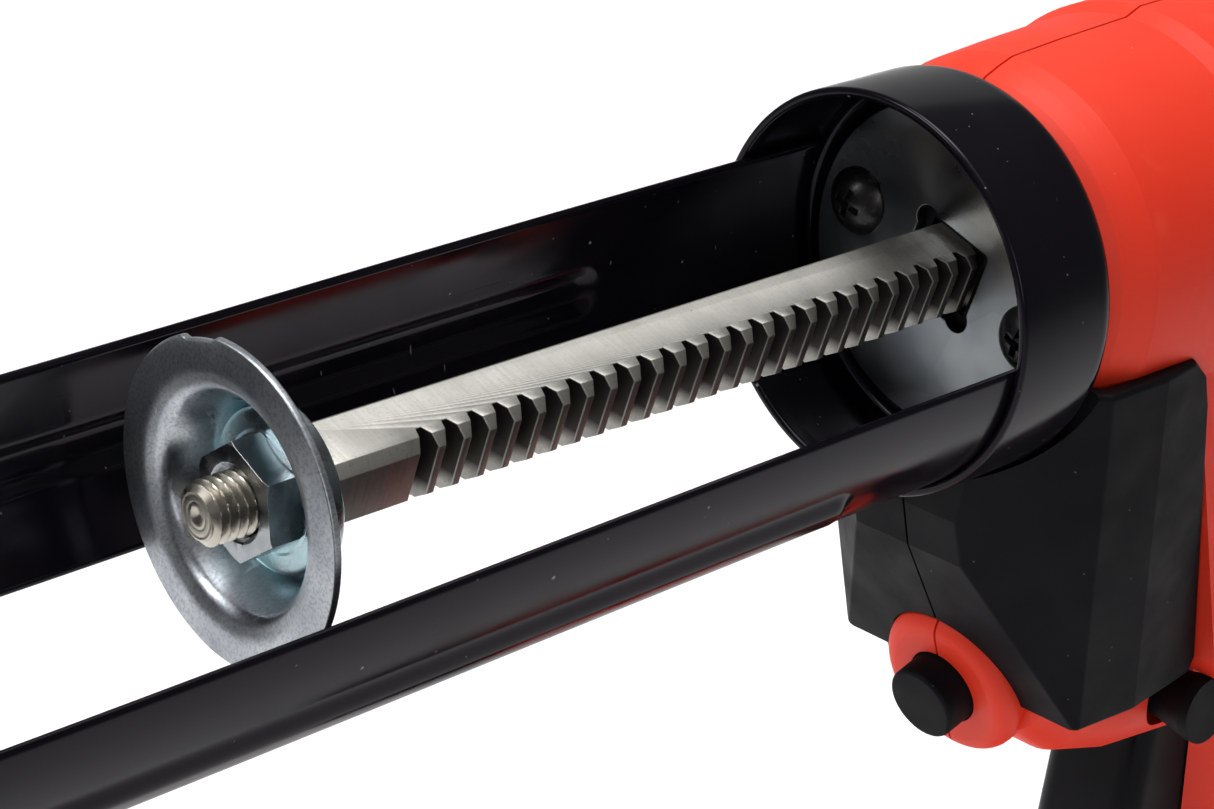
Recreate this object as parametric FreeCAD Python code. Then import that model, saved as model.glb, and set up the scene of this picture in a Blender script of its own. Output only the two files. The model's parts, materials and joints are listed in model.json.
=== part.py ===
import FreeCAD, Part
import os
from math import atan, atan2, cos, hypot, pi, radians, sin, sqrt, tan

# A cordless caulking gun for 310 ml cartridges, in millimetres.
# Row frame: origin at the centre of the battery's base, +X forward, +Y left, +Z up.
# Shapes are drawn in the rod frame: x forward from the plunger's rim, y left and z up from
# the push rod's axis.  upright() stands a drawn shape in the row frame; leaning() also turns it
# about the rod's axis, as the carrier, the push rod and the pinion shaft are.

V = FreeCAD.Vector
X, Y, Z = V(1, 0, 0), V(0, 1, 0), V(0, 0, 1)
ORIGIN = V(0, 0, 0)

# Driving dimensions
AXIS_Z = 232.0            # rod axis above the battery base
PLUNGER_X = 195.0         # plunger rim ahead of the base's centre, with the rod half way out
LEAN = 18.8               # turn of rod, carrier and pinion shaft about the rod axis, degrees
SHEET = 1.2               # steel sheet of the carrier
WALL = 2.4                # moulded wall
GAP = 0.3                 # between bodies that move past each other

# Push rod
BAR = 10.0
BAR_CHAMFER = 1.36
BAR_FRONT, BAR_REAR = -10.3, -368.0
MODULE = 1.25
PITCH = MODULE * pi
PRESSURE = radians(20)
FIRST_SLOT = -25.4
SLOTS = 62
STUD_R, STUD_END, STUD_PITCH = 3.95, 3.9, 1.25
PLATE_R, PLATE_T, DISH_DEPTH = 20.17, 1.0, 7.9
NUT_AF, NUT_FRONT, NUT_REAR, NUT_TURN = 13.0, -1.4, -6.1, -6.5
WASHER_R = 10.1

# Carrier
COLLAR_R, COLLAR_FRONT, COLLAR_REAR, COLLAR_ROUND = 28.3, -105.9, -124.6, 3.0
COLLAR_BORE = COLLAR_R - SHEET
FLANGE_BORE = 19.2
RAIL_IN = 25.7
RAIL_OUT = RAIL_IN + SHEET
RAIL_MIDDLE, RAIL_HALF = -20.5, 32.5      # angle of a rail's middle, and half its width
RAIL_REAR, RAIL_FRONT = -121.3, 103.5
RIB_R, RIB_CENTRE, RIB_REAR, RIB_FRONT = 5.0, 22.7, -79.0, 78.0
FRONT_T, FRONT_RIM, NOZZLE_SLOT = 1.6, 12.0, 17.0

# Retaining plate
HOLD_R, HOLD_FRONT, HOLD_T, HOLD_HOLE = 23.5, -121.6, 1.5, 12.8
HOLD_REAR = HOLD_FRONT - HOLD_T
HOLD_SCREW_Y, HOLD_SCREW_R = 17.0, 4.9
RELIEF_R, RELIEF_OUT = 2.0, 5.0           # round cut-outs at two corners of the rod's hole

# Drive
PINION_TEETH = 12
PINION_PITCH_R = MODULE * PINION_TEETH / 2
PINION_X = FIRST_SLOT - 31 * PITCH
PINION_Y = BAR / 2 - MODULE + PINION_PITCH_R + 0.06
PINION_HALF = 4.6
SHAFT_R, BUSH_GAP = 3.5, 0.05
BEVEL_MODULE, WHEEL_TEETH, BEVEL_TEETH, BEVEL_FACE = 1.0, 32, 12, 5.0
APEX_Z = -46.0
WHEEL_PITCH_R = BEVEL_MODULE * WHEEL_TEETH / 2
BEVEL_PITCH_R = BEVEL_MODULE * BEVEL_TEETH / 2
MOTOR_R, MOTOR_LEN, GEARBOX_R, GEARBOX_LEN = 17.0, 34.0, 15.5, 24.0
GEARBOX_FRONT = PINION_X - WHEEL_PITCH_R - 6.0

# Casing, in the rod frame
NECK = [(-125.2, 22.6), (-126.0, 25.0), (-127.8, 26.4), (-130.6, 27.5), (-133.2, 28.3),
        (-143.0, 28.9), (-157.5, 29.5), (-160.5, 30.6), (-200.0, 31.2), (-232.0, 30.0)]
TAIL_X, TAIL_ROUND = -246.0, 12.0
BODY_HALF = 25.0
COVER_BOTTOM = -66.8
COVER_REAR = -152.0
HANDLE_FRONT, HANDLE_REAR, HANDLE_HALF = -177.0, -224.0, 16.5
FOOT_TOP, FOOT_BASE = -174.0, -191.7      # the foot's base stands on the battery
FOOT_X, FOOT_Y = 100.0, 66.0
BOSS_X, BOSS_Z, BOSS_R, BOSS_DIP = -128.6, -67.4, 12.2, 16.0
BUTTON_R, BUTTON_OUT = 5.8, 5.0
BATTERY_X, BATTERY_Y, BATTERY_H, LATCH_H = 122.0, 74.0, 40.0, 12.6
TONGUE_HALF, TONGUE_LIP, BAY_H = 22.6, 19.0, 9.0
GUIDE_R, SEAM, SCREW_POST_R = 10.5, 0.4, 4.0
SELECTOR, SELECTOR_R = (-162.5, -73.5), 5.3          # side button: place (x, z) and radius
MIDDLE_X = -PLUNGER_X                     # the base's centre, in the rod frame
SCREWS = [(-168.0, 20.5), (-232.0, 19.0), (-226.0, -73.0), (-151.0, -77.5),
          (-217.0, -128.0), (-190.0, -160.0), (MIDDLE_X - 40, -178.0), (MIDDLE_X + 40, -178.0)]


# ---- helpers

def upright(shape):
    shape = shape.copy()
    shape.translate(V(PLUNGER_X, 0, AXIS_Z))
    return shape


def leaning(shape):
    shape = shape.copy()
    shape.rotate(ORIGIN, X, -LEAN)
    return upright(shape)


def save(name, shape):
    shape = shape.removeSplitter() if len(shape.Solids) == 1 else shape
    if not shape.isValid() or not shape.Solids:
        raise ValueError(name + " is not a valid solid")
    solids = shape.Solids
    (solids[0] if len(solids) == 1 else Part.makeCompound(solids)).exportStep(
        "parts/" + name + ".step")


def box(x0, x1, y0, y1, z0, z1):
    return Part.makeBox(x1 - x0, y1 - y0, z1 - z0, V(x0, y0, z0))


def rod_x(x0, x1, radius, y=0.0, z=0.0):
    return Part.makeCylinder(radius, x1 - x0, V(x0, y, z), X)


def rod_y(y0, y1, radius, x, z):
    return Part.makeCylinder(radius, y1 - y0, V(x, y0, z), Y)


def rod_z(z0, z1, radius, x, y):
    return Part.makeCylinder(radius, z1 - z0, V(x, y, z0), Z)


def tube_x(x0, x1, outer, inner, y=0.0, z=0.0):
    return rod_x(x0, x1, outer, y, z).cut(rod_x(x0 - 1, x1 + 1, inner, y, z))


def tube_z(z0, z1, outer, inner, x, y):
    return rod_z(z0, z1, outer, x, y).cut(rod_z(z0 - 1, z1 + 1, inner, x, y))


def prism_y(outline, y0, y1):
    """Extrude an outline of (x, z) points from y0 to y1."""
    points = [V(x, y0, z) for x, z in outline]
    return Part.Face(Part.makePolygon(points + points[:1])).extrude(V(0, y1 - y0, 0))


def prism_x(outline, x0, x1):
    """Extrude an outline of (y, z) points from x0 to x1."""
    points = [V(x0, y, z) for y, z in outline]
    return Part.Face(Part.makePolygon(points + points[:1])).extrude(V(x1 - x0, 0, 0))


def turn_x(outline):
    """Turn an outline of (x, r) points about the rod axis."""
    points = [V(x, 0, r) for x, r in outline]
    return Part.Face(Part.makePolygon(points + points[:1])).revolve(ORIGIN, X, 360)


def soften(shape, radius, choose):
    edges = [edge for edge in shape.Edges if choose(edge)]
    return shape.makeFillet(radius, edges) if edges else shape


def rounded_column(x0, x1, half, z0, z1, corner):
    """An upright column with a rounded rectangular section."""
    block = box(x0, x1, -half, half, z0, z1)
    return soften(block, corner, lambda edge: abs(edge.tangentAt(0).z) > 0.99)


def hexagon_x(x0, x1, across_flats, turn=0.0):
    radius = across_flats / sqrt(3)
    corners = [radians(turn + 60 * k) for k in range(6)]
    return prism_x([(radius * cos(a), radius * sin(a)) for a in corners], x0, x1)


def beyond(point, normal, size=200.0):
    """A large block on the outer side of a plane."""
    block = box(-size, size, -size, size, 0, size)
    block.Placement = FreeCAD.Placement(point, FreeCAD.Rotation(Z, normal))
    return block


def mirrored(shape):
    return shape.mirror(ORIGIN, Y)


def left_of_middle(shape):
    return shape.common(box(-400, 200, 0, 200, -300, 200))


def right_of_middle(shape):
    return shape.common(box(-400, 200, -200, 0, -300, 200))


# ---- carrier

def rear_collar():
    cup = rod_x(COLLAR_REAR, COLLAR_FRONT, COLLAR_R)
    cup = soften(cup, COLLAR_ROUND, lambda edge: edge.BoundBox.XMax < COLLAR_REAR + 0.1)
    hollow = rod_x(COLLAR_REAR + SHEET, COLLAR_FRONT + 1, COLLAR_BORE)
    hollow = soften(hollow, COLLAR_ROUND - SHEET,
                    lambda edge: edge.BoundBox.XMax < COLLAR_REAR + SHEET + 0.1)
    cup = cup.cut(hollow).cut(rod_x(COLLAR_REAR - 1, COLLAR_FRONT, FLANGE_BORE))
    return soften(cup, 0.45, lambda edge: edge.BoundBox.XMin > COLLAR_FRONT - 0.1)


def rail(side):
    """A half-round strip with a pressed rib; side is 1 for left and -1 for right."""
    strip = tube_x(RAIL_REAR, RAIL_FRONT, RAIL_OUT, RAIL_IN)
    low, high = radians(RAIL_MIDDLE - RAIL_HALF), radians(RAIL_MIDDLE + RAIL_HALF)
    middle, far = radians(RAIL_MIDDLE), 60.0
    wedge = [(0, 0)] + [(far * cos(a), far * sin(a)) for a in (low, middle, high)]
    strip = strip.common(prism_x(wedge, RAIL_REAR - 1, RAIL_FRONT + 1))
    strip = strip.fuse(rib(RIB_R)).cut(rib(RIB_R - SHEET, cutter=True))
    return strip if side > 0 else mirrored(strip)


def rib(radius, cutter=False):
    y, z = (RIB_CENTRE * f(radians(RAIL_MIDDLE)) for f in (cos, sin))
    bump = rod_x(RIB_REAR, RIB_FRONT, radius, y, z)
    for x in (RIB_REAR, RIB_FRONT):
        bump = bump.fuse(Part.makeSphere(radius, V(x, y, z)))
    return bump if cutter else bump.cut(rod_x(RAIL_REAR, RAIL_FRONT, RAIL_IN + SHEET / 2))


def front_plate():
    cap = rod_x(RAIL_FRONT - FRONT_RIM, RAIL_FRONT + FRONT_T, COLLAR_R)
    cap = soften(cap, 2.0, lambda edge: edge.BoundBox.XMin > RAIL_FRONT)
    cap = cap.cut(rod_x(RAIL_FRONT - FRONT_RIM - 1, RAIL_FRONT, RAIL_OUT + 0.02))
    slot = rod_x(RAIL_FRONT - 20, RAIL_FRONT + 20, NOZZLE_SLOT / 2)
    half = NOZZLE_SLOT / 2
    return cap.cut(slot.fuse(box(RAIL_FRONT - 20, RAIL_FRONT + 20, -half, half, 0, 40)))


# ---- push rod

def rack_slot(x):
    """The gap between two teeth of a 20 degree rack, cut in the bar's left face."""
    tip, root = BAR / 2 + 0.5, BAR / 2 - 2.25 * MODULE
    pitch_line = BAR / 2 - MODULE
    half = [PITCH / 4 + (y - pitch_line) * tan(PRESSURE) for y in (tip, root)]
    points = [V(x - half[0], tip, -BAR), V(x + half[0], tip, -BAR),
              V(x + half[1], root, -BAR), V(x - half[1], root, -BAR)]
    return Part.Face(Part.makePolygon(points + points[:1])).extrude(V(0, 0, 2 * BAR))


def stud():
    """The rod's threaded end, with its ridges as rings."""
    depth = 0.6134 * STUD_PITCH
    outline = [(BAR_FRONT - 1, 0), (BAR_FRONT - 1, STUD_R - depth), (BAR_FRONT, STUD_R - depth)]
    ridges = int((STUD_END - BAR_FRONT - 1) / STUD_PITCH)
    for k in range(ridges):
        start = BAR_FRONT + 0.3 + k * STUD_PITCH
        outline += [(start, STUD_R - depth), (start + 0.42 * STUD_PITCH, STUD_R),
                    (start + 0.56 * STUD_PITCH, STUD_R)]
    outline += [(STUD_END - 0.8, STUD_R - depth), (STUD_END, STUD_R - depth - 0.5), (STUD_END, 0)]
    return turn_x(outline)


def rack_rod():
    bar = box(BAR_REAR, BAR_FRONT, -BAR / 2, BAR / 2, -BAR / 2, BAR / 2)
    bar = bar.makeChamfer(BAR_CHAMFER, [e for e in bar.Edges if abs(e.tangentAt(0).x) > 0.99])
    slots = Part.makeCompound([rack_slot(FIRST_SLOT - k * PITCH) for k in range(SLOTS)])
    bar = bar.cut(slots).fuse(stud())
    return bar.cut(rod_y(-BAR, BAR, 2.05, BAR_REAR + 8, 0))


def plunger_plate():
    depth, lip = DISH_DEPTH, 13.2
    front = [(0, PLATE_R), (0, lip + 0.9), (-0.5, lip), (-2.2, lip - 0.9), (-depth + 1.0, 11.2),
             (-depth, 10.4), (-depth, STUD_R + 0.3)]
    back = [(-depth - PLATE_T, STUD_R + 0.3), (-depth - PLATE_T, 10.9), (-depth + 0.4, 12.1),
            (-2.7, lip), (-PLATE_T, lip + 1.3), (-PLATE_T, PLATE_R)]
    return turn_x(front + back)


def plunger_nut():
    nut = hexagon_x(NUT_REAR, NUT_FRONT, NUT_AF, NUT_TURN)
    corner = NUT_AF / sqrt(3)
    cone = turn_x([(NUT_REAR, 0), (NUT_REAR, NUT_AF / 2 + 0.2), (NUT_REAR + 0.5, corner + 0.01),
                   (NUT_FRONT - 0.25, corner + 0.01), (NUT_FRONT, corner - 0.45), (NUT_FRONT, 0)])
    bore = turn_x([(NUT_REAR - 1, 0), (NUT_REAR - 1, STUD_R), (NUT_FRONT - 0.9, STUD_R),
                   (NUT_FRONT + 0.1, STUD_R + 1.0), (NUT_FRONT + 0.1, 0)])
    return nut.common(cone).cut(bore)


def nut_washer():
    washer = tube_x(-DISH_DEPTH, NUT_REAR, WASHER_R, STUD_R + 0.2)
    return soften(washer, 0.6, lambda edge: edge.BoundBox.XMin > NUT_REAR - 0.1 and
                  edge.BoundBox.YMax > WASHER_R - 0.1)


def plunger_washer():
    return tube_x(BAR_FRONT, -DISH_DEPTH - PLATE_T, 8.0, STUD_R)


def pull_handle():
    """A bent strap that closes over the rod's rear end, with a finger loop behind."""
    half, loop_r, thick = 12.0, 12.0, 4.0
    rear = BAR_REAR - 26
    outer = box(rear, BAR_REAR + 14, -half, half, -3, 3)
    outer = outer.fuse(Part.makeCylinder(loop_r, 6, V(rear, 0, -3), Z))
    inner = box(rear, BAR_REAR - 4, thick - half, half - thick, -4, 4)
    inner = inner.fuse(Part.makeCylinder(loop_r - thick, 8, V(rear, 0, -4), Z))
    socket = box(BAR_REAR, BAR_REAR + 20, -BAR / 2, BAR / 2, -BAR, BAR)
    strap = outer.cut(inner).cut(socket)
    strap = soften(strap, 1.2, lambda edge: edge.BoundBox.ZLength < 0.01)
    return strap.cut(rod_y(-20, 20, 2.05, BAR_REAR + 8, 0))


def handle_pin():
    return rod_y(-13.0, 13.0, 2.05, BAR_REAR + 8, 0)


# ---- drive

def involute_gear(teeth, module, z0, z1, thinning=0.12):
    pitch_r = module * teeth / 2
    base_r, tip_r, root_r = pitch_r * cos(PRESSURE), pitch_r + module, pitch_r - 1.25 * module
    half_tooth = pi / (2 * teeth) - thinning / (2 * pitch_r)
    start = tan(PRESSURE) - PRESSURE

    def flank_angle(r):
        if r <= base_r:
            return half_tooth + start
        press = sqrt((r / base_r) ** 2 - 1)
        return half_tooth + start - (press - atan(press))

    radii = [root_r] + [base_r + (tip_r - base_r) * k / 5 for k in range(6)]
    points = []
    for tooth in range(teeth):
        centre = 2 * pi * tooth / teeth
        flank = [(r, flank_angle(r)) for r in radii]
        points += [(r, centre - a) for r, a in flank] + [(r, centre + a) for r, a in flank[::-1]]
    corners = [V(r * cos(a), r * sin(a), z0) for r, a in points]
    return Part.Face(Part.makePolygon(corners + corners[:1])).extrude(V(0, 0, z1 - z0))


def bevel_gear(teeth, mate, module, face, first=0.0, thinning=0.2):
    """A straight bevel gear with its apex at the origin, opening along +Z."""
    slope = atan2(teeth, mate)
    cone = module * hypot(teeth, mate) / 2
    inner = (cone - face) / cone
    high, low = 0.8 * module, -1.1 * module

    def at(height, width, angle, scale=1.0):
        out = cone * sin(slope) + height * cos(slope)
        up = cone * cos(slope) - height * sin(slope)
        return V(out * cos(angle) - width * sin(angle), out * sin(angle) + width * cos(angle),
                 up) * scale

    rim, neck = at(low, 0, 0), at(low, 0, 0, inner)
    blank = [(0, neck.z), (neck.x, neck.z), (rim.x, rim.z), (rim.x, rim.z + 1.5), (0, rim.z + 1.5)]
    points = [V(r, 0, z) for r, z in blank]
    gear = Part.Face(Part.makePolygon(points + points[:1])).revolve(ORIGIN, Z, 360)
    half = module * pi / 4 - thinning / 2
    teeth_solids = []
    for k in range(teeth):
        angle = first + 2 * pi * k / teeth
        section = [(low - 0.3, half + 1.2 * tan(PRESSURE)), (high, half - 0.8 * tan(PRESSURE))]
        ring = [(h, w) for h, w in section] + [(h, -w) for h, w in section[::-1]]
        outer = [at(h, w, angle) for h, w in ring]
        small = [at(h, w, angle, inner) for h, w in ring]
        faces = [outer, small[::-1]]
        faces += [[outer[i], small[i], small[(i + 1) % 4], outer[(i + 1) % 4]] for i in range(4)]
        shell = Part.Shell([Part.Face(Part.makePolygon(f + f[:1])) for f in faces])
        solid = Part.Solid(shell)
        if solid.Volume < 0:
            solid.reverse()
        teeth_solids.append(solid)
    return gear.multiFuse(teeth_solids)


def rack_pinion():
    gear = involute_gear(PINION_TEETH, MODULE, -PINION_HALF, PINION_HALF)
    gear.rotate(ORIGIN, Z, -90)
    gear.translate(V(PINION_X, PINION_Y, 0))
    return gear.cut(rod_z(-20, 20, SHAFT_R, PINION_X, PINION_Y))


def pinion_shaft():
    shaft = rod_z(APEX_Z + 2, PINION_HALF + 5.5, SHAFT_R, PINION_X, PINION_Y)
    return shaft.makeChamfer(0.4, [e for e in shaft.Edges if isinstance(e.Curve, Part.Circle)])


def bevel_wheel():
    wheel = bevel_gear(WHEEL_TEETH, BEVEL_TEETH, BEVEL_MODULE, BEVEL_FACE,
                       first=pi / WHEEL_TEETH)
    hub = rod_z(BEVEL_PITCH_R + 1, BEVEL_PITCH_R + 9, 7.0, 0, 0)
    wheel = wheel.fuse(hub)
    wheel.translate(V(PINION_X, PINION_Y, APEX_Z))
    return wheel.cut(rod_z(-80, 20, SHAFT_R, PINION_X, PINION_Y))


def output_pinion():
    """The gearbox's output shaft, cut in one piece with its bevel pinion."""
    pinion = bevel_gear(BEVEL_TEETH, WHEEL_TEETH, BEVEL_MODULE, BEVEL_FACE)
    pinion = pinion.fuse(rod_z(WHEEL_PITCH_R - 1, WHEEL_PITCH_R + 14, 3.0, 0, 0))
    pinion.rotate(ORIGIN, Y, -90)
    pinion.translate(V(PINION_X, PINION_Y, APEX_Z))
    return pinion


def pinion_bush(z0, z1):
    return tube_z(z0, z1, 6.5, SHAFT_R + BUSH_GAP, PINION_X, PINION_Y)


def drive_bracket():
    """The cast block that the bushes and the rod's front guide sit in, behind the plate."""
    top = box(PINION_X - 11, PINION_X + 10, -8, 21, PINION_HALF + 1.2, PINION_HALF + 6)
    bottom = box(PINION_X - 11, PINION_X + 10, -8, 21, -13.5, -PINION_HALF - 2.5)
    back = box(PINION_X - 11, PINION_X + 10, -12, -7, -13.5, PINION_HALF + 6)
    nose = rod_x(-131.0, HOLD_REAR, FLANGE_BORE - 0.08)
    link = box(PINION_X + 8, -128, -12, 12, -13.5, PINION_HALF + 6)
    lower = box(PINION_X - 9, PINION_X + 9, PINION_Y - 8.5, PINION_Y + 8.5, -31, -26)
    legs = [box(PINION_X + 5, PINION_X + 9, PINION_Y + y - 1.5, PINION_Y + y + 1.5, -31, -8)
            for y in (-7.0, 7.0)]
    block = nose.multiFuse([top, bottom, back, link, lower] + legs)
    bush = BAR / 2 + 2.5
    block = block.cut(box(-200, -100, -bush, bush, -bush, bush))
    block = block.cut(rod_z(-60, 30, 6.5, PINION_X, PINION_Y))
    block = block.cut(rod_z(-PINION_HALF - 1, PINION_HALF + 1, 10, PINION_X, PINION_Y))
    for side in (-1, 1):
        block = block.cut(rod_x(-131.0, -100, 1.65, side * HOLD_SCREW_Y, 0))
    return block


def rod_passage(x0, x1):
    half = BAR / 2 + 0.06
    return box(x0 - 1, x1 + 1, -half, half, -half, half)


def front_rod_guide():
    outer = BAR / 2 + 2.5
    return box(-131, HOLD_REAR, -outer, outer, -outer, outer).cut(rod_passage(-131, HOLD_REAR))


def rear_rod_guide():
    x0, x1 = TAIL_X - 0.6, TAIL_X + 12
    guide = rod_x(x0, x1, GUIDE_R).fuse(rod_x(x0 - 0.8, x0 + 0.02, GUIDE_R + 1.2))
    return guide.cut(rod_passage(x0 - 2, x1))


def gearbox_case():
    front, rear = GEARBOX_FRONT, GEARBOX_FRONT - GEARBOX_LEN
    case = rod_x(rear, front, GEARBOX_R, PINION_Y, APEX_Z)
    case = soften(case, 1.5, lambda edge: edge.BoundBox.XMin > front - 0.1)
    case = case.fuse(rod_x(front - 1, front + 3, 7.0, PINION_Y, APEX_Z))
    ribs = [box(rear + 2, front - 3, -1.2, 1.2, GEARBOX_R - 1, GEARBOX_R + 1.2) for _ in range(8)]
    for k, one in enumerate(ribs):
        one.rotate(ORIGIN, X, 45 * k)
        one.translate(V(0, PINION_Y, APEX_Z))
    case = case.multiFuse(ribs)
    return case.cut(rod_x(front - 12, front + 10, 3.0 + BUSH_GAP, PINION_Y, APEX_Z))


def motor_can():
    front = GEARBOX_FRONT - GEARBOX_LEN
    can = rod_x(front - MOTOR_LEN, front, MOTOR_R, PINION_Y, APEX_Z)
    can = soften(can, 1.5, lambda edge: edge.BoundBox.XMin > front - 0.1)
    for angle in (0, 90, 180, 270):
        slot = box(front - 14, front - 5, -3, 3, MOTOR_R - 1.5, MOTOR_R + 1)
        slot.rotate(ORIGIN, X, angle + 45)
        slot.translate(V(0, PINION_Y, APEX_Z))
        can = can.cut(slot)
    return can


def motor_cap():
    front = GEARBOX_FRONT - GEARBOX_LEN - MOTOR_LEN
    cap = rod_x(front - 5, front, MOTOR_R - 0.8, PINION_Y, APEX_Z)
    cap = soften(cap, 1.5, lambda edge: edge.BoundBox.XMax < front - 4.9)
    blades = [box(front - 9, front - 4, PINION_Y + y - 2, PINION_Y + y + 2, APEX_Z - 0.4,
                  APEX_Z + 0.4) for y in (-10, 10)]
    return cap.multiFuse(blades)


# ---- casings

def barrel_form(inset):
    top = [(x, r - inset) for x, r in NECK]
    tail = TAIL_X + inset
    rear_r = NECK[-1][1] - inset
    arc = [(tail + TAIL_ROUND * (1 - sin(a)), rear_r - TAIL_ROUND * (1 - cos(a)))
           for a in (radians(18 * k) for k in range(1, 6))]
    front = [(x + (inset if i == 0 else 0), r) for i, (x, r) in enumerate(top)]
    front[0] = (NECK[0][0] - inset, top[0][1])
    outline = [(front[0][0], 0)] + front + arc + [(tail, 0)]
    return turn_x(outline)


def motor_form(inset):
    """The part of the housing under the barrel, behind the cover and round the motor."""
    floor = COVER_BOTTOM - 1 + inset
    side = [(COVER_REAR + 8 - inset, -4), (COVER_REAR + 7 - inset, -12),
            (COVER_REAR + 1.8 - inset, -19.1), (COVER_REAR - 8.6 - inset, COVER_BOTTOM + 2.4),
            (COVER_REAR - 10.5 - inset, floor), (-232.0, floor), (-242.0 + inset, floor + 11),
            (-245.0 + inset, floor + 26), (-245.0 + inset, -26), (-238.0 + inset, -4)]
    half = BODY_HALF - inset
    block = prism_y(side, -half, half)
    return soften(block, 7.0 - inset, lambda e: e.BoundBox.YLength < 0.01 and
                  e.BoundBox.ZMin < -25 and e.BoundBox.XMax < COVER_REAR - 12)


def chin_form(inset):
    """The slimmer part under the cover and the motor, that the handle grows from."""
    side = [(-133.0 - inset, COVER_BOTTOM + 6), (-133.0 - inset, -72.5 + inset),
            (-141.0, -78.5 + inset), (-152.0, -82.0 + inset), (-172.0, -84.5 + inset),
            (-184.0, -92 + inset), (-184.0, -108), (HANDLE_REAR + inset, -108),
            (-229.0 + inset, -88), (-237.0 + inset, -68), (-237.0 + inset, COVER_BOTTOM + 6)]
    half = HANDLE_HALF - inset
    block = prism_y(side, -half, half)
    radius = max(9.0 - inset, 3.0)
    return soften(block, radius, lambda e: e.BoundBox.YLength < 0.01 and
                  e.BoundBox.ZMax < COVER_BOTTOM - 4 and e.BoundBox.XMin < -140 and
                  e.BoundBox.ZMin > -107)


def lower_form(inset):
    return motor_form(inset).fuse(chin_form(inset))


def handle_form(inset):
    column = rounded_column(HANDLE_REAR + inset, HANDLE_FRONT - inset, HANDLE_HALF - inset,
                            FOOT_TOP - 6, -80, 13.0 - inset)
    return column


def foot_form(inset):
    x0, x1 = MIDDLE_X - FOOT_X / 2 + inset, MIDDLE_X + FOOT_X / 2 - inset
    foot = rounded_column(x0, x1, FOOT_Y / 2 - inset, FOOT_BASE, FOOT_TOP - inset, 12.0 - inset)
    return soften(foot, 5.0, lambda e: e.BoundBox.ZMin > FOOT_TOP - inset - 0.1)


def boss_axis():
    return V(cos(radians(BOSS_DIP)), 0, -sin(radians(BOSS_DIP)))


def along_boss(distance):
    return V(BOSS_X, 0, BOSS_Z) + boss_axis() * distance


def boss_rod(start, end, radius):
    return Part.makeCylinder(radius, end - start, along_boss(start), boss_axis())


def boss_form(inset):
    boss = boss_rod(-24, -inset, BOSS_R - inset)
    return soften(boss, 3.0, lambda e: isinstance(e.Curve, Part.Circle) and
                  e.Curve.Center.x > BOSS_X - 6 - inset)


def housing_form(inset):
    form = barrel_form(inset)
    pieces = [lower_form(inset), handle_form(inset), foot_form(inset), boss_form(inset)]
    return form.multiFuse(pieces).removeSplitter()


def cover_form(inset):
    """The faceted box under the neck, before it is hollowed and halved."""
    rear, base = COVER_REAR - 1 + inset, COVER_BOTTOM + inset
    side = [(-116.6 - inset, -11), (-117.0 - inset, -33.8), (-118.6 - inset, -41.0),
            (-132.0 - inset, base), (rear - 6, base), (rear - 7.5, base + 2.5), (rear + 3, -19),
            (rear + 5, -14), (rear + 9, -10.4), (-127, -11)]
    block = prism_y(side, -30, 30)
    for corner, normal in facets():
        block = block.cut(beyond(corner - normal * inset, normal))
        mirror_normal = V(normal.x, -normal.y, normal.z)
        mirror_corner = V(corner.x, -corner.y, corner.z)
        block = block.cut(beyond(mirror_corner - mirror_normal * inset, mirror_normal))
    return block


def facets():
    """Point and outward normal of each flat on the left flank, from three points each."""
    low_front, low_mid = V(-132.3, 22.6, -66.7), V(-143.5, 23.6, -66.7)
    high_front, high_mid = V(-126.6, 27.4, -17), V(-137.5, 28.3, -17)
    low_rear, high_rear = V(-160, 21.8, -66.7), V(-148, 27.0, -17)
    brow = V(-118.5, 9.9, -40.9)
    flats = []
    for a, b, c in ((low_front, brow, high_front), (low_front, high_front, high_mid),
                    (low_mid, high_mid, high_rear)):
        normal = (b - a).cross(c - a)
        normal.normalize()
        flats.append((a, normal if normal.y > 0 else normal * -1))
    return flats


def gear_cover():
    shell = cover_form(0.0)
    shell = soften(shell, 0.9, lambda e: e.BoundBox.YMin > 5 or e.BoundBox.YMax < -5)
    hollow = cover_form(WALL).fuse(box(-160, -135, -19, 19, COVER_BOTTOM + WALL, -12))
    shell = shell.cut(hollow)
    shell = shell.cut(rod_x(COLLAR_REAR - 0.4, -100, COLLAR_R + 0.6)).cut(barrel_form(-0.05))
    shell = shell.cut(lower_form(-0.05)).cut(boss_rod(-30, 20, BOSS_R + 0.05))
    return max(shell.Solids, key=lambda solid: solid.Volume).cut(seam(cover_form(0.7)))


def trigger_slot():
    return box(-192, -160, -9.6, 9.6, -138, -80)


def housing():
    shell = housing_form(0.0).cut(housing_form(WALL))
    shell = shell.cut(rod_x(-140, -100, FLANGE_BORE))
    shell = shell.fuse(rod_x(TAIL_X + WALL - 0.5, TAIL_X + 12, GUIDE_R + 2.5))
    shell = add_screw_posts(shell.fuse(bay_block()))
    shell = shell.cut(rod_x(TAIL_X - 5, TAIL_X + 20, GUIDE_R))
    opening = box(-172, -126, -20.5, 20.5, -64, -10).cut(boss_rod(-24, 5, BOSS_R + 0.1))
    shell = shell.cut(opening).cut(trigger_slot())
    shell = shell.cut(boss_rod(-30, 10, BUTTON_R + GAP)).cut(boss_rod(-30, -3, BUTTON_R + 1.6))
    shell = shell.cut(rod_y(-40, 40, SELECTOR_R + GAP, *SELECTOR))
    return shell.cut(bay()).cut(seam(housing_form(0.5)))


def seam(core):
    """The fine groove along the joint of two halves, down to the core."""
    return box(-400, 200, -SEAM / 2, SEAM / 2, -300, 200).cut(core)


def bay_block():
    """The solid part of the foot that carries the battery's T-shaped tongue."""
    x0, x1 = MIDDLE_X - FOOT_X / 2 + 1, MIDDLE_X + FOOT_X / 2 - 1
    block = box(x0, x1, -30, 30, FOOT_BASE, FOOT_BASE + BAY_H + 3.5)
    return block.common(foot_form(1.0))


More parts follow.
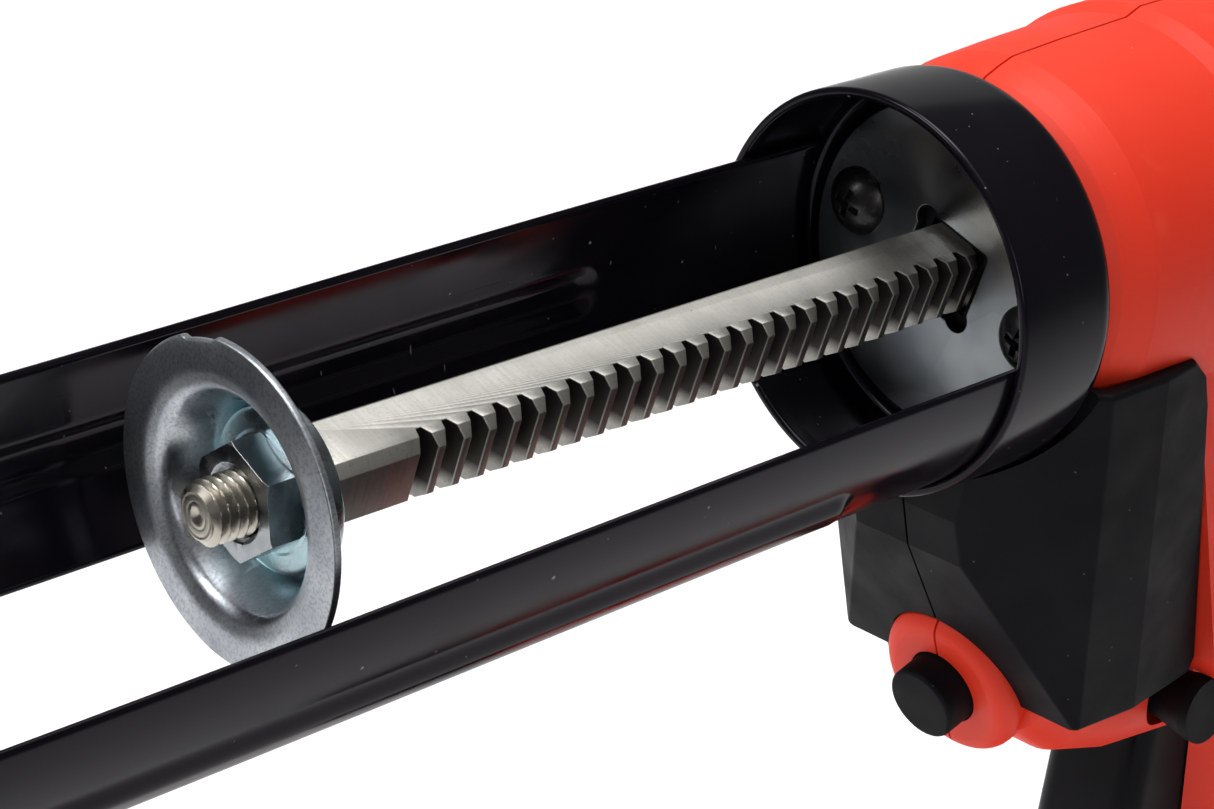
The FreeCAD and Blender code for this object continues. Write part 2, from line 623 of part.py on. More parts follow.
def bay():
    rear, front = MIDDLE_X - 32, MIDDLE_X + FOOT_X / 2 + 9
    wide, narrow = TONGUE_HALF + GAP, TONGUE_LIP + GAP
    slot = box(rear, front, -wide, wide, FOOT_BASE + 3, FOOT_BASE + BAY_H + GAP)
    return slot.fuse(box(rear, front, -narrow, narrow, FOOT_BASE - 1, FOOT_BASE + 4))


def add_screw_posts(shell):
    for x, z in SCREWS:
        shell = shell.fuse(rod_y(-60, 60, SCREW_POST_R, x, z).common(housing_form(0.5)))
    for x, z in SCREWS:
        shell = shell.cut(rod_y(-60, 10, 1.6, x, z)).cut(rod_y(-60, -9, 3.0, x, z))
    return shell


def housing_screws():
    solids = []
    for x, z in SCREWS:
        screw = rod_y(-12, 9, 1.6, x, z).fuse(rod_y(-12, -9.0, 2.9, x, z))
        socket = rod_y(-13, -10.6, 1.3, x, z)
        solids.append(screw.cut(socket))
    return Part.makeCompound(solids)


def retaining_plate():
    plate = rod_x(HOLD_FRONT - HOLD_T, HOLD_FRONT, HOLD_R)
    hole = box(-130, -100, -HOLD_HOLE / 2, HOLD_HOLE / 2, -HOLD_HOLE / 2, HOLD_HOLE / 2)
    hole = soften(hole, 0.8, lambda edge: abs(edge.tangentAt(0).x) > 0.99)
    for side in (-1, 1):
        hole = hole.fuse(rod_x(-130, -100, RELIEF_R, side * RELIEF_OUT, -side * RELIEF_OUT))
    plate = plate.cut(hole)
    for side in (-1, 1):
        plate = plate.cut(rod_x(-130, -100, 2.1, side * HOLD_SCREW_Y, 0))
    return plate


def plate_screws():
    solids = []
    for side in (-1, 1):
        y = side * HOLD_SCREW_Y
        dome = Part.makeSphere(6.0, V(HOLD_FRONT - 3.1, y, 0))
        head = rod_x(HOLD_FRONT, HOLD_FRONT + 4, HOLD_SCREW_R, y).common(dome)
        cross = box(HOLD_FRONT + 1.2, HOLD_FRONT + 4, y - 2.2, y + 2.2, -0.5, 0.5)
        cross = cross.fuse(box(HOLD_FRONT + 1.2, HOLD_FRONT + 4, y - 0.5, y + 0.5, -2.2, 2.2))
        shank = rod_x(HOLD_FRONT - 9, HOLD_FRONT + 0.5, 1.6, y)
        solids.append(head.cut(cross).fuse(shank))
    return Part.makeCompound(solids)


def grip_pad():
    """The soft pad moulded on the back and sides of the handle."""
    band = rounded_column(HANDLE_REAR - 1.6, HANDLE_FRONT - 17, HANDLE_HALF + 1.4,
                          FOOT_TOP + 4, -104, 13.0)
    band = soften(band, 1.0, lambda e: e.BoundBox.ZLength < 0.01)
    return band.cut(handle_form(-0.02)).cut(foot_form(-0.02)).cut(lower_form(-0.05))


# ---- controls

def trigger():
    front, rear, top, foot = -162.6, -186.0, -84.5, -136.0
    side = [(rear, top), (front - 4.5, top), (front - 3, top - 10), (front - 1, top - 21),
            (front + 0.5, top - 34), (front + 2.5, foot + 2), (front + 0.5, foot), (rear, foot)]
    blade = prism_y(side, -9.3, 9.3)
    blade = soften(blade, 4.0, lambda e: e.BoundBox.XMin > front - 5 and e.BoundBox.YLength < 0.01)
    return blade.cut(box(rear - 1, rear + 9, -6.5, 6.5, -122, -96))


def trigger_spring():
    return tube_x(-192.0, -177.2, 3.6, 2.6, 0, -104)


def trigger_switch():
    case = box(-214, -194, -9.0, 9.0, -122, -94)
    case = soften(case, 1.0, lambda e: True)
    return case.fuse(rod_x(-195, -192.2, 3.0, 0, -104)).fuse(rod_x(-195, -184.6, 2.2, 0, -116))


def direction_button():
    x, z = SELECTOR
    reach, flare = 23.5, SELECTOR_R
    stem = rod_y(-reach, reach, 4.0, x, z)
    for side in (-1, 1):
        tip = Part.makeCone(4.0, flare, 6.0, V(x, side * (reach - 7.5), z), Y * side)
        disc = Part.makeCylinder(flare, 1.6, V(x, side * (reach - 1.6), z), Y * side)
        stem = stem.fuse(tip).fuse(disc)
    return stem.removeSplitter()


def release_button():
    cap = boss_rod(-8, BUTTON_OUT, BUTTON_R)
    cap = soften(cap, 0.7, lambda e: isinstance(e.Curve, Part.Circle) and e.Curve.Center.x > BOSS_X)
    return cap.fuse(boss_rod(-8.8, -8, BUTTON_R + 1.0)).cut(boss_rod(-9, -2, 3.2))


def release_spring():
    return boss_rod(-15, -2.05, 2.9).cut(boss_rod(-16, 1, 2.2))


def spring_seat():
    return boss_rod(-17, -15, 8.8).fuse(boss_rod(-15.1, -13, 2.1))


# ---- battery

def battery_form(inset, z0, z1):
    x0, x1 = MIDDLE_X - BATTERY_X / 2 + inset, MIDDLE_X + BATTERY_X / 2 - inset
    return rounded_column(x0, x1, BATTERY_Y / 2 - inset, z0, z1, 9.0 - inset)


def battery_lower():
    base, seam = -AXIS_Z, -AXIS_Z + 24
    case = battery_form(0, base, seam)
    case = soften(case, 2.0, lambda e: e.BoundBox.ZMax < base + 0.1)
    return case.cut(battery_form(WALL, base + WALL, seam + 1))


def battery_upper():
    seam, top = -AXIS_Z + 24, -AXIS_Z + BATTERY_H
    case = battery_form(0, seam, top)
    case = soften(case, 2.5, lambda e: e.BoundBox.ZMin > top - 0.1)
    case = case.cut(battery_form(WALL, seam - 1, top - WALL))
    rear, front = MIDDLE_X - 30, MIDDLE_X + FOOT_X / 2 - 2
    stem = box(rear, front, -TONGUE_LIP, TONGUE_LIP, top - 0.5, FOOT_BASE + 4)
    lip = box(rear, front, -TONGUE_HALF, TONGUE_HALF, FOOT_BASE + 3 + GAP, FOOT_BASE + BAY_H)
    case = case.fuse(stem).fuse(lip)
    for y in (-11, 0, 11):
        case = case.cut(box(rear - 1, rear + 20, y - 1.2, y + 1.2, FOOT_BASE + 1.5, FOOT_BASE + 8.5))
    nook = box(MIDDLE_X + 50.5, MIDDLE_X + 80, -14.3, 14.3, seam - 0.1, top + 1)
    return case.cut(nook)


def battery_latch():
    front, top = MIDDLE_X + BATTERY_X / 2, -AXIS_Z + BATTERY_H
    block = box(front - 10, front + 0.8, -14, 14, top - LATCH_H, top - 1)
    return soften(block, 1.5, lambda e: e.BoundBox.XMin > front + 0.7)


def latch_spring():
    latch_foot = -AXIS_Z + BATTERY_H - LATCH_H
    return tube_z(-AXIS_Z + 20, latch_foot - 0.02, 3.0, 2.2, MIDDLE_X + 55, 0)


def battery_cells():
    radius, length, floor = 9.1, 65.0, -AXIS_Z + WALL + 0.2
    cells = []
    for k in range(5):
        x = MIDDLE_X + (k - 2) * (2 * radius + 0.6)
        cell = rod_y(-length / 2, length / 2, radius, x, floor + radius)
        cells.append(cell.fuse(rod_y(length / 2 - 0.1, length / 2 + 0.8, 2.8, x, floor + radius)))
    return Part.makeCompound(cells)


def battery_tray():
    """The carrier that holds the cells down, under the board."""
    floor = -AXIS_Z + WALL + 0.2
    tray = box(MIDDLE_X - 48, MIDDLE_X + 48, -30, 30, floor + 14, floor + 21)
    for k in range(5):
        tray = tray.cut(rod_y(-40, 40, 9.15, MIDDLE_X + (k - 2) * 18.8, floor + 9.1))
    return tray.cut(box(MIDDLE_X + 45, MIDDLE_X + 60, -6, 6, floor, floor + 30))


def terminal_block():
    rear = MIDDLE_X - 32
    block = box(rear, rear + 1.8, -18, 18, FOOT_BASE + 3.2, FOOT_BASE + BAY_H)
    blades = [box(rear, rear + 14, y - 0.5, y + 0.5, FOOT_BASE + 4.2, FOOT_BASE + 7.6)
              for y in (-11, 0, 11)]
    return block.multiFuse(blades)


# ---- write every node

def main():
    os.makedirs("parts", exist_ok=True)
    carrier_and_rod = {
        "rear_collar": rear_collar(), "side_rail_left": rail(1), "side_rail_right": rail(-1),
        "front_plate": front_plate(),
        "rack_rod": rack_rod(), "plunger_plate": plunger_plate(), "plunger_nut": plunger_nut(),
        "nut_washer": nut_washer(), "plunger_washer": plunger_washer(),
        "pull_handle": pull_handle(), "handle_pin": handle_pin(),
        "rack_pinion": rack_pinion(), "pinion_shaft": pinion_shaft(),
        "bevel_wheel": bevel_wheel(), "output_pinion": output_pinion(),
        "upper_bush": pinion_bush(PINION_HALF + 1.2, PINION_HALF + 5),
        "lower_bush": pinion_bush(-31, -26), "drive_bracket": drive_bracket(),
        "front_rod_guide": front_rod_guide(), "rear_rod_guide": rear_rod_guide(),
        "gearbox_case": gearbox_case(),
        "motor_can": motor_can(), "motor_cap": motor_cap(),
        "retaining_plate": retaining_plate(), "plate_screws": plate_screws(),
    }
    case, cover = housing(), gear_cover()
    casing_and_battery = {
        "housing_left": left_of_middle(case), "housing_right": right_of_middle(case),
        "gear_cover_left": left_of_middle(cover), "gear_cover_right": right_of_middle(cover),
        "grip_pad": grip_pad(),
        "housing_screws": housing_screws(), "trigger": trigger(),
        "trigger_spring": trigger_spring(), "trigger_switch": trigger_switch(),
        "direction_button": direction_button(), "release_button": release_button(),
        "release_spring": release_spring(), "spring_seat": spring_seat(),
        "battery_lower": battery_lower(), "battery_upper": battery_upper(),
        "battery_latch": battery_latch(), "latch_spring": latch_spring(),
        "battery_cells": battery_cells(), "battery_tray": battery_tray(),
        "terminal_block": terminal_block(),
    }
    for name, shape in carrier_and_rod.items():
        save(name, leaning(shape))
    for name, shape in casing_and_battery.items():
        save(name, upright(shape))


main()
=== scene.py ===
import json
from math import cos, hypot, pi, radians, sin, sqrt, tan

import bmesh
import bpy
from mathutils import Matrix, Vector

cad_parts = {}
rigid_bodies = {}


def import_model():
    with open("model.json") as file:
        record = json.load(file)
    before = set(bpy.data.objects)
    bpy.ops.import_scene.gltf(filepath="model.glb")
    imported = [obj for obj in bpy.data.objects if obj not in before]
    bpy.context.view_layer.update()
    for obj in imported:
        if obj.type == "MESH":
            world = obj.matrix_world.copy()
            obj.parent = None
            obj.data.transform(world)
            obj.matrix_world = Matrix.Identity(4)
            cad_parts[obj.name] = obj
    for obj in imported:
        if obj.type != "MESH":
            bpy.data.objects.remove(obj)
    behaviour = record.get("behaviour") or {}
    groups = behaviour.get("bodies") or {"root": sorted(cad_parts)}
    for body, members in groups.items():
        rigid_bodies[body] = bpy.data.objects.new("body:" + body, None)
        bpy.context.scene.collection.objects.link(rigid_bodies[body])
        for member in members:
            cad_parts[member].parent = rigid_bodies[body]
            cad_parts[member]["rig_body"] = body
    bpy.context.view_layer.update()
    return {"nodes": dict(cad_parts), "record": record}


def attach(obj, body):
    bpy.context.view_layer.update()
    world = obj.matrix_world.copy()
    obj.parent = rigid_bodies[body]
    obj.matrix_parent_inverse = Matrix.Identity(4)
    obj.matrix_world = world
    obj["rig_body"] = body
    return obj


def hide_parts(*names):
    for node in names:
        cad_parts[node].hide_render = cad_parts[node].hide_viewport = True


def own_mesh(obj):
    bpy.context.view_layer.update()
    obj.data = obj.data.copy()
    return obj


# A cordless caulking gun: detailed pieces, finishes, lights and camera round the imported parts.
# Pieces of the carrier and the push rod are drawn in millimetres in the rod frame: x forward from
# the plunger's rim, y left and z up from the rod's axis, with the frame leaning about that axis.
# Springs are drawn in the row frame, and softened copies keep the place of their CAD node.

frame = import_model()
nodes = frame["nodes"]

MM = 0.001
LEAN = radians(-18.8)
AXIS = Vector((0.195, 0.0, 0.232))        # the plunger's rim on the push rod's axis, in metres
LEANING = Matrix.Translation(AXIS) @ Matrix.Rotation(LEAN, 4, "X")
WELD = 2e-6                               # corners of a CAD mesh this near are one, in metres

# Collar: ends, outer radius, bore of its skirt and radius of the hole in its floor
COLLAR_REAR, COLLAR_FRONT = -124.6, -105.9
COLLAR_R, COLLAR_BORE, COLLAR_HOLE = 28.3, 27.1, 19.2

# Rails: ends, inner, mean and outer radius, edges as angles about the rod, the pressed rib's ends
# and height, the slight turn of the whole strip, and its sag between its ends
RAIL_REAR, RAIL_FRONT = -121.3, 103.5
RAIL_IN, RAIL_MEAN, RAIL_OUT = 25.7, 26.3, 26.9
RAIL_TOP, RAIL_BOTTOM = radians(12.0), radians(-50.2)
RIB_REAR, RIB_FRONT, RIB_LIFT = -77.5, 78.0, 1.2
RAIL_TURN, RAIL_SAG = radians(1.0), 0.85
DOWN = Vector((0, 0.322, -0.947))         # straight down, seen from the leaning rod

# Plunger plate: radii of its rim and its bore, front and back of its floor
PLATE_R, PLATE_BORE, PLATE_FLOOR, PLATE_BACK = 20.17, 4.25, -7.9, -8.9

# Thread on the rod's end: its two ends, its pitch, and its radius at the crest and at the root
THREAD_START, THREAD_END = -10.25, 3.9
THREAD_PITCH, THREAD_CREST, THREAD_ROOT = 1.25, 3.95, 3.05
BAR_END = -10.35                          # where the CAD bar is cut off, just behind the thread


# ---- finishes

class Finish:
    """A principled material with helpers for its procedural nodes."""

    def __init__(self, name, color, roughness, metallic=0.0, **sockets):
        self.material = bpy.data.materials.new(name)
        self.material.use_nodes = True
        self.tree = self.material.node_tree
        self.shader = self.tree.nodes["Principled BSDF"]
        self.color = self.constant(color)
        self.roughness = roughness
        self.shader.inputs["Base Color"].default_value = self.color
        self.shader.inputs["Roughness"].default_value = roughness
        self.shader.inputs["Metallic"].default_value = metallic
        for key, value in sockets.items():
            self.shader.inputs[key.replace("_", " ")].default_value = value
        self.place = self.add("ShaderNodeTexCoord").outputs["Object"]
        self.height = None

    @staticmethod
    def constant(color):
        """The colour with an alpha of 1, if it has none."""
        return tuple(color) + (1.0,) if len(color) == 3 else tuple(color)

    def add(self, kind, inputs=None, **settings):
        """A new node, with each input set to a value or linked to a socket."""
        node = self.tree.nodes.new(kind)
        for key, value in settings.items():
            setattr(node, key, value)
        for key, value in (inputs or {}).items():
            if isinstance(value, bpy.types.NodeSocket):
                self.tree.links.new(value, node.inputs[key])
            else:
                node.inputs[key].default_value = value
        return node

    def scaled(self, stretch):
        return self.add("ShaderNodeMapping", {"Vector": self.place, "Scale": stretch}).outputs[0]

    def noise(self, scale, detail=2.0, stretch=(1, 1, 1), rough=0.5):
        where = self.scaled(stretch) if stretch != (1, 1, 1) else self.place
        node = self.add("ShaderNodeTexNoise",
                        {"Vector": where, "Scale": scale, "Detail": detail, "Roughness": rough})
        return node.outputs["Fac"]

    def cells(self, scale):
        return self.add("ShaderNodeTexVoronoi", {"Vector": self.place, "Scale": scale})

    def remap(self, value, low, high, to_low=0.0, to_high=1.0):
        """Map low..high to to_low..to_high, held at both ends."""
        node = self.add("ShaderNodeMapRange", {"Value": value, "From Min": low, "From Max": high,
                                               "To Min": to_low, "To Max": to_high})
        return node.outputs[0]

    def combine(self, operation, first, second):
        return self.add("ShaderNodeMath", {0: first, 1: second}, operation=operation).outputs[0]

    def blend(self, factor, first, second):
        node = self.add("ShaderNodeMix", data_type="RGBA")
        sockets = {"Factor": node.inputs[0], "A": node.inputs[6], "B": node.inputs[7]}
        for key, value in (("Factor", factor), ("A", first), ("B", second)):
            if isinstance(value, bpy.types.NodeSocket):
                self.tree.links.new(value, sockets[key])
            else:
                sockets[key].default_value = value if key == "Factor" else self.constant(value)
        return node.outputs[2]

    def tint(self, factor, color):
        """Lay a second colour over what is there, where factor is high."""
        below = self.color
        self.color = self.blend(factor, below, color)
        self.tree.links.new(self.color, self.shader.inputs["Base Color"])
        return self

    def vary_roughness(self, value, low, high):
        """Take the roughness from a pattern that runs from about 0.3 to 0.7."""
        self.roughness = self.remap(value, 0.3, 0.7, low, high)
        self.tree.links.new(self.roughness, self.shader.inputs["Roughness"])
        return self

    def roughen(self, factor, roughness):
        """Go to another roughness where factor is high."""
        node = self.add("ShaderNodeMix", {0: factor, 2: self.roughness, 3: roughness},
                        data_type="FLOAT")
        self.roughness = node.outputs[0]
        self.tree.links.new(self.roughness, self.shader.inputs["Roughness"])
        return self

    def bump(self, value, depth_mm, strength=1.0):
        """Add fine relief on top of any that is there."""
        inputs = {"Height": value, "Distance": depth_mm * MM, "Strength": strength}
        if self.height is not None:
            inputs["Normal"] = self.height
        self.height = self.add("ShaderNodeBump", inputs).outputs[0]
        self.tree.links.new(self.height, self.shader.inputs["Normal"])
        return self

    def specks(self, scale, share, size, color, roughness=0.7):
        """Scattered specks of dust: share of the cells that hold one, and its radius in cells."""
        cell = self.cells(scale)
        near = self.remap(cell.outputs["Distance"], size, size * 0.45)
        chosen = self.add("ShaderNodeSeparateColor", {0: cell.outputs["Color"]}).outputs[0]
        kept = self.combine("LESS_THAN", chosen, share)
        factor = self.combine("MULTIPLY", near, kept)
        self.tint(factor, color)
        return self.roughen(factor, roughness)

    def across_rod(self):
        """Sockets for y and z from the rod's axis in millimetres, in the rod frame."""
        parts = self.add("ShaderNodeSeparateXYZ", {0: self.place})
        return [self.combine("MULTIPLY", parts.outputs[i], 1 / MM) for i in (1, 2)]

    def radius_from_rod(self):
        """Distance from the rod's axis in millimetres, for pieces drawn in the rod frame."""
        squares = [self.combine("MULTIPLY", side, side) for side in self.across_rod()]
        total = self.combine("ADD", squares[0], squares[1])
        return self.combine("POWER", total, 0.5)


def orange_plastic():
    look = Finish("orange_plastic", (0.80, 0.040, 0.014), 0.52, Specular_IOR_Level=0.30)
    look.tint(look.remap(look.noise(28, 3), 0.35, 0.75), (0.74, 0.032, 0.012))
    look.tint(look.remap(look.noise(160, 2), 0.62, 0.80), (0.82, 0.055, 0.024))
    look.vary_roughness(look.noise(70, 3), 0.46, 0.60)
    look.specks(420, 0.02, 0.10, (0.90, 0.42, 0.34))
    look.bump(look.noise(2600, 2), 0.012, 0.5)
    return look.bump(look.noise(60, 1), 0.05, 0.25).material


def black_plastic(name="black_plastic", rough=(0.50, 0.66), grain=1900):
    look = Finish(name, (0.0036, 0.0034, 0.0046), rough[0], Specular_IOR_Level=0.09)
    look.tint(look.remap(look.noise(45, 3), 0.40, 0.75), (0.0062, 0.0058, 0.0075))
    look.vary_roughness(look.noise(120, 4), *rough)
    look.specks(260, 0.035, 0.09, (0.16, 0.16, 0.17))
    look.specks(900, 0.02, 0.16, (0.10, 0.10, 0.11))
    return look.bump(look.noise(grain, 2), 0.02, 0.6).material


def black_rubber():
    look = Finish("black_rubber", (0.007, 0.007, 0.008), 0.62, Specular_IOR_Level=0.25)
    look.tint(look.remap(look.noise(90, 3), 0.45, 0.8), (0.013, 0.013, 0.014))
    look.specks(500, 0.03, 0.12, (0.12, 0.12, 0.13), 0.9)
    dots = look.cells(900)
    return look.bump(look.remap(dots.outputs["Distance"], 0.1, 0.5, 1, 0), 0.06, 0.6).material


def enamel():
    look = Finish("black_enamel", (0.0030, 0.0025, 0.0042), 0.12, Specular_IOR_Level=0.17,
                  Specular_Tint=(0.94, 0.88, 1.0, 1.0))
    look.tint(look.remap(look.noise(35, 4), 0.5, 0.9), (0.006, 0.005, 0.008))
    look.vary_roughness(look.noise(90, 4), 0.10, 0.24)
    scratch = look.noise(60, 3, (1.0, 22, 22), 0.7)
    look.roughen(look.remap(scratch, 0.66, 0.74, 0, 0.5), 0.38)
    look.specks(330, 0.08, 0.11, (0.26, 0.25, 0.27))
    look.specks(800, 0.05, 0.14, (0.13, 0.12, 0.14))
    hair = look.noise(75, 2, (9.0, 1.0, 3.0), 0.7)
    look.tint(look.remap(hair, 0.735, 0.775, 0, 0.8), (0.16, 0.15, 0.17))
    return look.bump(look.noise(240, 2), 0.010, 0.5).material


def zinc():
    look = Finish("zinc_plate", (0.52, 0.545, 0.575), 0.24, 1.0)
    radius = look.radius_from_rod()
    look.tint(look.remap(look.noise(110, 4), 0.35, 0.7), (0.33, 0.35, 0.385))
    look.tint(look.remap(look.noise(2400, 3), 0.46, 0.62, 0, 0.42), (0.16, 0.17, 0.20))
    bowl = look.remap(radius, 13.2, 10.0)
    teal = look.combine("MULTIPLY", bowl, look.remap(look.noise(120, 2), 0.30, 0.62, 0.15, 0.9))
    look.tint(teal, (0.38, 0.58, 0.62))
    look.vary_roughness(look.noise(160, 5), 0.20, 0.36)
    look.roughen(look.remap(radius, 13.4, 15.0, 0, 0.75), 0.42)
    look.specks(520, 0.05, 0.10, (0.30, 0.30, 0.31), 0.6)
    scratch = look.noise(70, 3, (1, 9, 1.5), 0.75)
    look.roughen(look.remap(scratch, 0.63, 0.70, 0, 0.6), 0.50)
    hair = look.noise(240, 2, (1, 14, 1.2), 0.8)
    look.tint(look.remap(hair, 0.66, 0.72, 0, 0.5), (0.75, 0.76, 0.78))
    look.bump(look.noise(1500, 3), 0.020, 0.6)
    return look.bump(look.noise(150, 2), 0.03, 0.35).material


def bright_steel(name, color, rough, scale=300):
    look = Finish(name, color, rough[0], 1.0)
    darker = tuple(c * 0.70 for c in color)
    look.tint(look.remap(look.noise(140, 4), 0.45, 0.85), darker)
    look.vary_roughness(look.noise(scale, 3), *rough)
    look.specks(600, 0.03, 0.12, tuple(c * 0.35 for c in color), 0.6)
    return look.bump(look.noise(scale, 3), 0.01, 0.6).material


def ground_steel(name, color, rough):
    """A bar with fine lines across its length and painted shade between its rack teeth."""
    look = Finish(name, color, rough[0], 1.0)
    lines = look.noise(60, 4, (34, 2.0, 2.0), 0.65)
    look.tint(look.remap(lines, 0.35, 0.70), tuple(c * 0.82 for c in color))
    look.tint(look.remap(look.noise(160, 4), 0.45, 0.80), tuple(c * 0.72 for c in color))
    look.tint(look.remap(look.noise(2400, 2), 0.55, 0.75), tuple(c * 0.70 for c in color))
    look.vary_roughness(lines, *rough)
    look.specks(500, 0.04, 0.10, tuple(c * 0.3 for c in color), 0.6)
    look.bump(look.noise(1500, 3), 0.012, 0.6)
    look.bump(lines, 0.010, 0.6)
    # painted shade in the gaps: inside the bar's outline on its toothed side, lighter low down
    y, z = look.across_rod()
    aside = look.combine("ABSOLUTE", z, 0.0)
    painted_gap_shade = look.combine("MULTIPLY", look.remap(y, 4.88, 4.75), look.remap(y, 1.9, 2.1))
    painted_gap_shade = look.combine("MULTIPLY", painted_gap_shade, look.remap(aside, 4.92, 4.80))
    both = look.combine("ADD", y, aside)
    painted_gap_shade = look.combine("MULTIPLY", painted_gap_shade, look.remap(both, 8.56, 8.40))
    painted_gap_shade = look.combine("MULTIPLY", painted_gap_shade, look.remap(z, -3.7, -1.9, 0.15, 1))
    # painted shade laid over the steel in the gaps between the teeth
    look.tint(painted_gap_shade, (0.055, 0.048, 0.046))
    return look.roughen(painted_gap_shade, 0.50).material


def galvanised():
    look = Finish("galvanised_sheet", (0.21, 0.226, 0.242), 0.34, 1.0)
    spangle = look.cells(95).outputs["Color"]
    shade = look.add("ShaderNodeSeparateColor", {0: spangle}).outputs[0]
    look.tint(look.remap(shade, 0.2, 0.9, 0, 0.6), (0.29, 0.305, 0.305))
    look.tint(look.remap(look.noise(60, 3), 0.5, 0.8), (0.18, 0.20, 0.23))
    look.tint(look.remap(look.noise(35, 3), 0.58, 0.75, 0, 0.5), (0.24, 0.19, 0.14))
    look.vary_roughness(look.noise(90, 3), 0.24, 0.44)
    return look.bump(look.noise(420, 3), 0.012, 0.5).material


def dark_metal():
    look = Finish("black_oxide", (0.016, 0.015, 0.016), 0.30, 0.6)
    look.tint(look.remap(look.noise(700, 3), 0.55, 0.8), (0.07, 0.065, 0.06))
    look.vary_roughness(look.noise(500, 3), 0.22, 0.42)
    return look.bump(look.noise(900, 2), 0.02, 0.5).material


def cast_alloy():
    look = Finish("cast_alloy", (0.46, 0.46, 0.48), 0.45, 1.0)
    look.tint(look.remap(look.noise(120, 4), 0.4, 0.8), (0.33, 0.33, 0.35))
    look.vary_roughness(look.noise(300, 3), 0.38, 0.58)
    return look.bump(look.noise(700, 3), 0.05, 0.6).material


def bronze():
    look = Finish("sintered_bronze", (0.55, 0.36, 0.18), 0.42, 1.0)
    look.tint(look.remap(look.noise(500, 3), 0.4, 0.8), (0.38, 0.24, 0.12))
    return look.bump(look.noise(1200, 3), 0.03, 0.6).material


def cell_wrap():
    look = Finish("cell_wrap", (0.02, 0.16, 0.34), 0.22)
    look.tint(look.remap(look.noise(60, 2), 0.4, 0.8), (0.03, 0.20, 0.40))
    return look.bump(look.noise(120, 2), 0.05, 0.4).material


FINISHES = {
    "orange_shell": orange_plastic(),
    "black_shell": black_plastic(),
    "black_rubber": black_rubber(),
    "trigger_black": black_plastic("trigger_plastic", (0.32, 0.46), 1500),
    "black_enamel": enamel(),
    "galvanised": galvanised(),
    "zinc": zinc(),
    "nickel": bright_steel("dark_zinc_plate", (0.40, 0.42, 0.44), (0.16, 0.34)),
    "rod_steel": ground_steel("ground_bar", (0.47, 0.46, 0.425), (0.42, 0.56)),
    "black_screws": dark_metal(),
    "handle_steel": enamel(),
    "cast_metal": cast_alloy(),
    "bronze": bronze(),
    "spring_steel": bright_steel("spring_wire", (0.50, 0.50, 0.50), (0.20, 0.35)),
    "cell_wrap": cell_wrap(),
}


def paint(piece, slot):
    """Give a piece the finish of a slot, in place of any that it has."""
    piece.data.materials.clear()
    piece.data.materials.append(FINISHES[slot])


# ---- mesh helpers

def add_piece(name, vertices, faces, body, slot, replaced=(), smooth=35.0, look=None,
              matrix=LEANING):
    """A new piece from points in millimetres, riding on a body and finished as a slot."""
    mesh = bpy.data.meshes.new(name)
    mesh.from_pydata([Vector(v) * MM for v in vertices], [], faces)
    work = bmesh.new()
    work.from_mesh(mesh)
    bmesh.ops.remove_doubles(work, verts=work.verts, dist=1e-7)
    bmesh.ops.recalc_face_normals(work, faces=work.faces)
    work.to_mesh(mesh)
    work.free()
    piece = bpy.data.objects.new(name, mesh)
    bpy.context.scene.collection.objects.link(piece)
    piece.matrix_world = matrix
    mesh.shade_smooth()
    mesh.set_sharp_from_angle(angle=radians(smooth))
    mesh.materials.append(look or FINISHES[slot])
    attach(piece, body)
    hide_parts(*replaced)
    return piece


def grid_faces(rows, columns, wrap_rows=False, wrap_columns=False):
    """Four-sided faces over a grid of points listed row by row."""
    faces = []
    for i in range(rows if wrap_rows else rows - 1):
        for j in range(columns if wrap_columns else columns - 1):
            a, b = i * columns, ((i + 1) % rows) * columns
            k = (j + 1) % columns
            faces.append((a + j, a + k, b + k, b + j))
    return faces


def softened(node, slot, width_mm=0.15):
    """A copy of a CAD node with its sharp edges rounded, which stands for it."""
    source = nodes[node]
    mesh = source.data.copy()
    work = bmesh.new()
    work.from_mesh(mesh)
    bmesh.ops.remove_doubles(work, verts=work.verts, dist=WELD)
    bmesh.ops.dissolve_limit(work, angle_limit=radians(1.0), verts=work.verts, edges=work.edges)
    work.to_mesh(mesh)
    work.free()
    piece = bpy.data.objects.new(node + "_finished", mesh)
    bpy.context.scene.collection.objects.link(piece)
    mesh.shade_smooth()
    mesh.set_sharp_from_angle(angle=radians(35))
    bevel = piece.modifiers.new("round", "BEVEL")
    bevel.width, bevel.segments = width_mm * MM, 2
    bevel.limit_method, bevel.angle_limit = "ANGLE", radians(32)
    bevel.harden_normals = True
    paint(piece, slot)
    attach(piece, source["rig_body"])
    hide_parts(node)


def rounded(corners, steps=5):
    """Round the corners of a closed outline of (a, b, radius) points."""
    outline = []
    for k, (a, b, radius) in enumerate(corners):
        here = Vector((a, b))
        before = Vector(corners[k - 1][:2]) - here
        after = Vector(corners[(k + 1) % len(corners)][:2]) - here
        if radius <= 0:
            outline.append((a, b))
            continue
        half = before.angle(after) / 2
        reach = min(radius / tan(half), 0.49 * before.length, 0.49 * after.length)
        first, last = here + before.normalized() * reach, here + after.normalized() * reach
        for i in range(steps + 1):
            t = i / steps
            outline.append(tuple(first * (1 - t) ** 2 + here * 2 * t * (1 - t) + last * t ** 2))
    return outline


def turned(outline, steps, change=None):
    """Turn a closed outline of (x, r) points about the rod's axis."""
    vertices = []
    for k in range(steps):
        angle = 2 * pi * k / steps
        for x, r in outline:
            if change:
                x, r = change(x, r, angle)
            vertices.append((x, r * cos(angle), r * sin(angle)))
    return vertices, grid_faces(steps, len(outline), True, True)


def smoothstep(value):
    """A soft step from 0 to 1 as value goes from 0 to 1."""
    t = min(max(value, 0.0), 1.0)
    return t * t * (3 - 2 * t)


# ---- carrier: collar and rails

